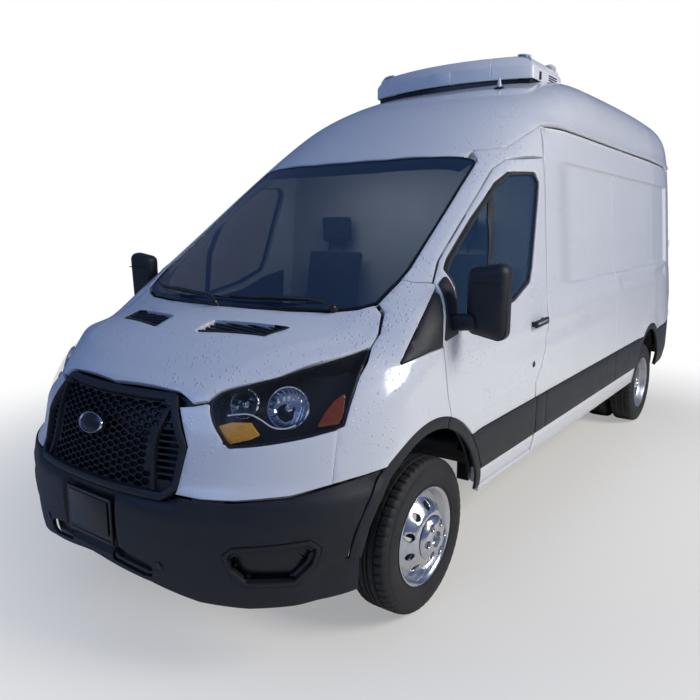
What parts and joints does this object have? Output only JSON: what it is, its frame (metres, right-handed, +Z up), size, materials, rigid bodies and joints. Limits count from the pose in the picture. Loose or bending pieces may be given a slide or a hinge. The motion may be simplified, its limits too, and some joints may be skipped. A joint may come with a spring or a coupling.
{
  "type": "refrigerated panel van",
  "caption": "High-roof insulated panel van with a roof-front cooling unit, twin rear wheels, opening cab doors, hood and rear doors, and steered front wheels.",
  "frame": {"origin": "on the ground under the middle of the vehicle, halfway between nose and tail", "axes": "X to the vehicle's left, Y to its rear, Z up"},
  "size_m": [2.4722, 5.9821, 2.79],
  "materials": {
    "white_paint": "glossy",
    "unit_white": "glossy",
    "black_plastic": "matte grained",
    "dash_plastic": "matte",
    "grey_panel": "matte",
    "glass": "clear",
    "lamp": "clear",
    "red_lamp": "glossy",
    "fabric": "woven",
    "dark_steel": "satin",
    "cast": "rough",
    "fan_plastic": "matte",
    "wheel_silver": "satin",
    "tyre": "matte"
  },
  "bodies": {
    "chassis": {"bulkhead": "grey_panel", "cowl": "black_plastic", "dashboard": "dash_plastic", "driveline": "dark_steel", "engine": "cast", "evaporator": "unit_white", "fenders": "white_paint", "front_bumper": "black_plastic", "front_fascia": "white_paint", "front_subframe": "dark_steel", "fuel_tank": "black_plastic", "grille": "black_plastic", "headlights": "lamp", "rear_axle": "dark_steel", "rear_bumper": "black_plastic", "roof": "white_paint", "sail_panels": "black_plastic", "seats": "fabric", "side_left": "white_paint", "side_mouldings": "black_plastic", "side_right": "white_paint", "sliding_door": "white_paint", "tail_lamps": "red_lamp", "underbody": "dark_steel", "unit_base": "black_plastic", "unit_housing": "unit_white", "windshield": "glass"},
    "door_left_body": {"door_left": "white_paint", "door_glass_left": "glass", "door_trim_left": "black_plastic"},
    "door_right_body": {"door_right": "white_paint", "door_glass_right": "glass", "door_trim_right": "black_plastic"},
    "hood_body": {"hood": "white_paint"},
    "rear_door_left_body": {"rear_door_left": "white_paint"},
    "rear_door_right_body": {"rear_door_right": "white_paint"},
    "fan_left_body": {"fan_left": "fan_plastic"},
    "fan_right_body": {"fan_right": "fan_plastic"},
    "knuckle_left_body": {"knuckle_left": "cast"},
    "knuckle_right_body": {"knuckle_right": "cast"},
    "front_wheel_left": {"front_rim_left": "wheel_silver", "front_tyre_left": "tyre"},
    "front_wheel_right": {"front_rim_right": "wheel_silver", "front_tyre_right": "tyre"},
    "rear_wheels_left": {"rear_rims_left": "wheel_silver", "rear_tyres_left": "tyre"},
    "rear_wheels_right": {"rear_rims_right": "wheel_silver", "rear_tyres_right": "tyre"}
  },
  "joints": [
    {"name": "hood_hinge", "type": "hinge", "parent": "chassis", "child": "hood_body", "pos_m": [0, -2.1625, 1.34], "axis": [-1, 0, 0], "range_deg": [0, 55]},
    {"name": "door_left_hinge", "type": "hinge", "parent": "chassis", "child": "door_left_body", "pos_m": [1.034, -1.9595, 1], "axis": [0, 0, -1], "range_deg": [0, 68]},
    {"name": "door_right_hinge", "type": "hinge", "parent": "chassis", "child": "door_right_body", "pos_m": [-1.034, -1.9595, 1], "axis": [0, 0, 1], "range_deg": [0, 68]},
    {"name": "rear_door_left_hinge", "type": "hinge", "parent": "chassis", "child": "rear_door_left_body", "pos_m": [0.975, 3.0075, 1.4], "axis": [0, 0, -1], "range_deg": [0, 180]},
    {"name": "rear_door_right_hinge", "type": "hinge", "parent": "chassis", "child": "rear_door_right_body", "pos_m": [-0.975, 3.0075, 1.4], "axis": [0, 0, 1], "range_deg": [0, 180]},
    {"name": "steer_left", "type": "hinge", "parent": "chassis", "child": "knuckle_left_body", "pos_m": [0.78, -1.9675, 0.347], "axis": [0, 0, 1], "range_deg": [-35, 35]},
    {"name": "steer_right", "type": "hinge", "parent": "chassis", "child": "knuckle_right_body", "pos_m": [-0.78, -1.9675, 0.347], "axis": [0, 0, 1], "range_deg": [-35, 35]},
    {"name": "front_wheel_left_spin", "type": "hinge", "parent": "knuckle_left_body", "child": "front_wheel_left", "pos_m": [0.866, -1.9675, 0.347], "axis": [1, 0, 0], "continuous": true},
    {"name": "front_wheel_right_spin", "type": "hinge", "parent": "knuckle_right_body", "child": "front_wheel_right", "pos_m": [-0.866, -1.9675, 0.347], "axis": [1, 0, 0], "continuous": true},
    {"name": "rear_wheels_left_spin", "type": "hinge", "parent": "chassis", "child": "rear_wheels_left", "pos_m": [0.781, 1.7825, 0.347], "axis": [1, 0, 0], "continuous": true},
    {"name": "rear_wheels_right_spin", "type": "hinge", "parent": "chassis", "child": "rear_wheels_right", "pos_m": [-0.781, 1.7825, 0.347], "axis": [1, 0, 0], "continuous": true},
    {"name": "fan_left_spin", "type": "hinge", "parent": "chassis", "child": "fan_left_body", "pos_m": [0.285, 0.1867, 2.73], "axis": [0, 0, 1], "continuous": true},
    {"name": "fan_right_spin", "type": "hinge", "parent": "chassis", "child": "fan_right_body", "pos_m": [-0.285, 0.1867, 2.73], "axis": [0, 0, 1], "continuous": true}
  ],
  "couplings": [
    {"joint": "steer_right", "follows": "steer_left", "ratio": 1}
  ]
}
